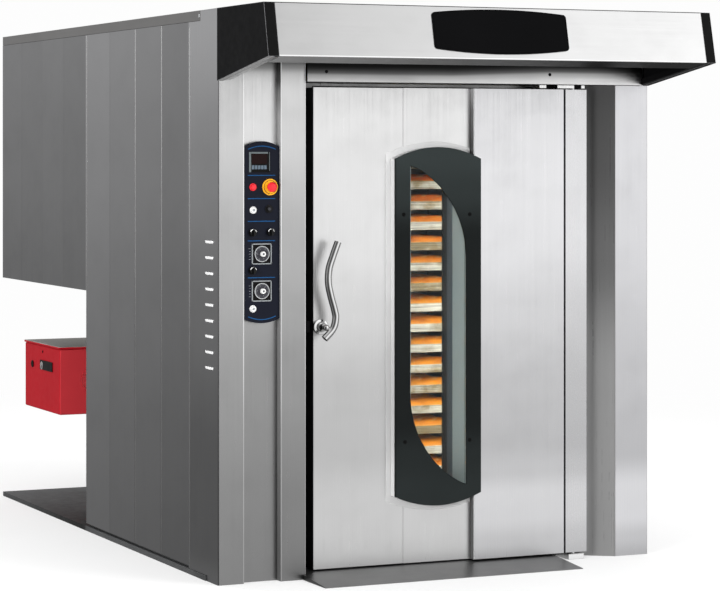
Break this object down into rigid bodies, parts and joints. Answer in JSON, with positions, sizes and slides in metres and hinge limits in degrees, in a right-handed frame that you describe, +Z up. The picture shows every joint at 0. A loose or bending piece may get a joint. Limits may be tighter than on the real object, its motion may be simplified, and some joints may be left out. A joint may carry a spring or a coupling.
{
  "type": "rotating rack oven",
  "caption": "Bakery rack oven with a hinged insulated door and window, a turning rack of trays, a steam hood, and a rear heat exchanger housing over its burner.",
  "frame": {"origin": "on the floor, at the middle of the outer box", "axes": "+X to the right seen from the front, +Y from the door towards the back, +Z up"},
  "size_m": [2.03, 3.59, 2.35],
  "materials": {
    "steel_sheet": "satin",
    "steel_inner": "satin",
    "steel_polished": "polished",
    "dark_base": "matte",
    "black_trim": "satin",
    "badge_black": "gloss",
    "control_navy": "satin",
    "burner_red": "satin",
    "burner_metal": "satin",
    "motor_paint": "satin",
    "mineral_wool": "matte",
    "gasket": "matte",
    "tray_metal": "satin",
    "bread": "matte",
    "wheel_plastic": "matte",
    "frame_grey": "satin",
    "glass": "gloss",
    "button_red": "gloss",
    "button_white": "gloss",
    "button_black": "gloss",
    "knob_metal": "satin"
  },
  "bodies": {
    "oven": {"base_plate": "dark_base", "left_side_panels": "steel_sheet", "right_side_panels": "steel_sheet", "rear_casing_panels": "steel_sheet", "roof_panels": "steel_sheet", "top_trims": "steel_sheet", "insulation": "mineral_wool", "chamber_liner": "steel_inner", "door_frame": "steel_inner", "door_gasket": "gasket", "threshold_ramp": "steel_sheet", "left_column_casing": "steel_sheet", "right_column_casing": "steel_sheet", "lintel": "steel_sheet", "hood_top_panel": "steel_sheet", "hood_front_panel": "steel_sheet", "hood_end_caps": "black_trim", "hood_badge_plate": "badge_black", "hinge_blocks": "steel_inner", "latch_keeper": "steel_inner", "drive_motors": "motor_paint", "heat_exchanger": "steel_inner", "roof_collars": "steel_inner", "burner_cover": "burner_red", "burner_head": "burner_metal", "control_plate": "control_navy", "control_fixtures": "steel_inner", "casing_screws": "steel_inner"},
    "fan": {"circulation_fan": "steel_inner"},
    "rack": {"rotor_hook": "steel_inner", "rack_frame": "steel_inner", "baking_trays": "tray_metal", "bread_loaves": "bread"},
    "wheel_fl": {"wheel_front_left": "wheel_plastic"},
    "wheel_fr": {"wheel_front_right": "wheel_plastic"},
    "wheel_rl": {"wheel_rear_left": "wheel_plastic"},
    "wheel_rr": {"wheel_rear_right": "wheel_plastic"},
    "door": {"door_skins": "steel_sheet", "door_edge_frame": "black_trim", "door_insulation": "mineral_wool", "door_plug": "steel_inner", "window_reveal": "steel_inner", "window_frame": "frame_grey", "window_glass": "glass", "window_screws": "steel_inner", "hinge_post": "steel_sheet", "handle_rose": "steel_inner"},
    "handle": {"door_handle": "steel_polished"},
    "latch": {"latch_bolt": "steel_inner"},
    "stop": {"stop_button": "button_red"},
    "start": {"start_button": "button_red"},
    "light": {"light_button": "button_white"},
    "steam": {"steam_button": "button_black"},
    "lamp": {"lamp_button": "button_white"},
    "select_left": {"selector_left": "button_black"},
    "select_right": {"selector_right": "button_black"},
    "select_lower": {"selector_lower": "button_black"},
    "timer_upper": {"timer_knob_upper": "knob_metal"},
    "timer_lower": {"timer_knob_lower": "knob_metal"},
    "burner_reset": {"burner_button": "steel_polished"}
  },
  "joints": [
    {"name": "door_swing", "type": "hinge", "parent": "oven", "child": "door", "pos_m": [0.652, -1.21, 1], "axis": [0, 0, 1], "range_deg": [0, 120]},
    {"name": "handle_turn", "type": "hinge", "parent": "door", "child": "handle", "pos_m": [-0.544, -1.21, 1.038], "axis": [0, 1, 0], "range_deg": [0, 80]},
    {"name": "latch_slide", "type": "slide", "parent": "door", "child": "latch", "axis": [-1, 0, 0], "range_m": [0, 0.025]},
    {"name": "rack_spin", "type": "hinge", "parent": "oven", "child": "rack", "pos_m": [0, -0.365, 1], "axis": [0, 0, 1], "continuous": true},
    {"name": "wheel_fl_spin", "type": "hinge", "parent": "rack", "child": "wheel_fl", "pos_m": [-0.37, -0.765, 0.092], "axis": [1, 0, 0], "continuous": true},
    {"name": "wheel_fr_spin", "type": "hinge", "parent": "rack", "child": "wheel_fr", "pos_m": [0.37, -0.765, 0.092], "axis": [1, 0, 0], "continuous": true},
    {"name": "wheel_rl_spin", "type": "hinge", "parent": "rack", "child": "wheel_rl", "pos_m": [-0.37, 0.035, 0.092], "axis": [1, 0, 0], "continuous": true},
    {"name": "wheel_rr_spin", "type": "hinge", "parent": "rack", "child": "wheel_rr", "pos_m": [0.37, 0.035, 0.092], "axis": [1, 0, 0], "continuous": true},
    {"name": "fan_spin", "type": "hinge", "parent": "oven", "child": "fan", "pos_m": [0, 0.621, 1.65], "axis": [0, 1, 0], "continuous": true},
    {"name": "stop_press", "type": "slide", "parent": "oven", "child": "stop", "axis": [0, 1, 0], "range_m": [0, 0.004]},
    {"name": "start_press", "type": "slide", "parent": "oven", "child": "start", "axis": [0, 1, 0], "range_m": [0, 0.003], "stiffness_N_per_m": 400, "springref_m": -0.002},
    {"name": "light_press", "type": "slide", "parent": "oven", "child": "light", "axis": [0, 1, 0], "range_m": [0, 0.003], "stiffness_N_per_m": 400, "springref_m": -0.002},
    {"name": "steam_press", "type": "slide", "parent": "oven", "child": "steam", "axis": [0, 1, 0], "range_m": [0, 0.003], "stiffness_N_per_m": 400, "springref_m": -0.002},
    {"name": "lamp_press", "type": "slide", "parent": "oven", "child": "lamp", "axis": [0, 1, 0], "range_m": [0, 0.003], "stiffness_N_per_m": 400, "springref_m": -0.002},
    {"name": "select_left_turn", "type": "hinge", "parent": "oven", "child": "select_left", "pos_m": [-0.859, -1.245, 1.434], "axis": [0, 1, 0], "range_deg": [-45, 45]},
    {"name": "select_right_turn", "type": "hinge", "parent": "oven", "child": "select_right", "pos_m": [-0.78, -1.245, 1.435], "axis": [0, 1, 0], "range_deg": [-45, 45]},
    {"name": "select_lower_turn", "type": "hinge", "parent": "oven", "child": "select_lower", "pos_m": [-0.859, -1.245, 1.279], "axis": [0, 1, 0], "range_deg": [-45, 45]},
    {"name": "timer_upper_turn", "type": "hinge", "parent": "oven", "child": "timer_upper", "pos_m": [-0.817, -1.245, 1.346], "axis": [0, 1, 0], "range_deg": [0, 300]},
    {"name": "timer_lower_turn", "type": "hinge", "parent": "oven", "child": "timer_lower", "pos_m": [-0.817, -1.245, 1.194], "axis": [0, 1, 0], "range_deg": [0, 300]},
    {"name": "burner_press", "type": "slide", "parent": "oven", "child": "burner_reset", "axis": [1, 0, 0], "range_m": [0, 0.003], "stiffness_N_per_m": 400, "springref_m": -0.002}
  ],
  "couplings": [
    {"joint": "latch_slide", "follows": "handle_turn", "m_per_rad": 0.0179}
  ]
}
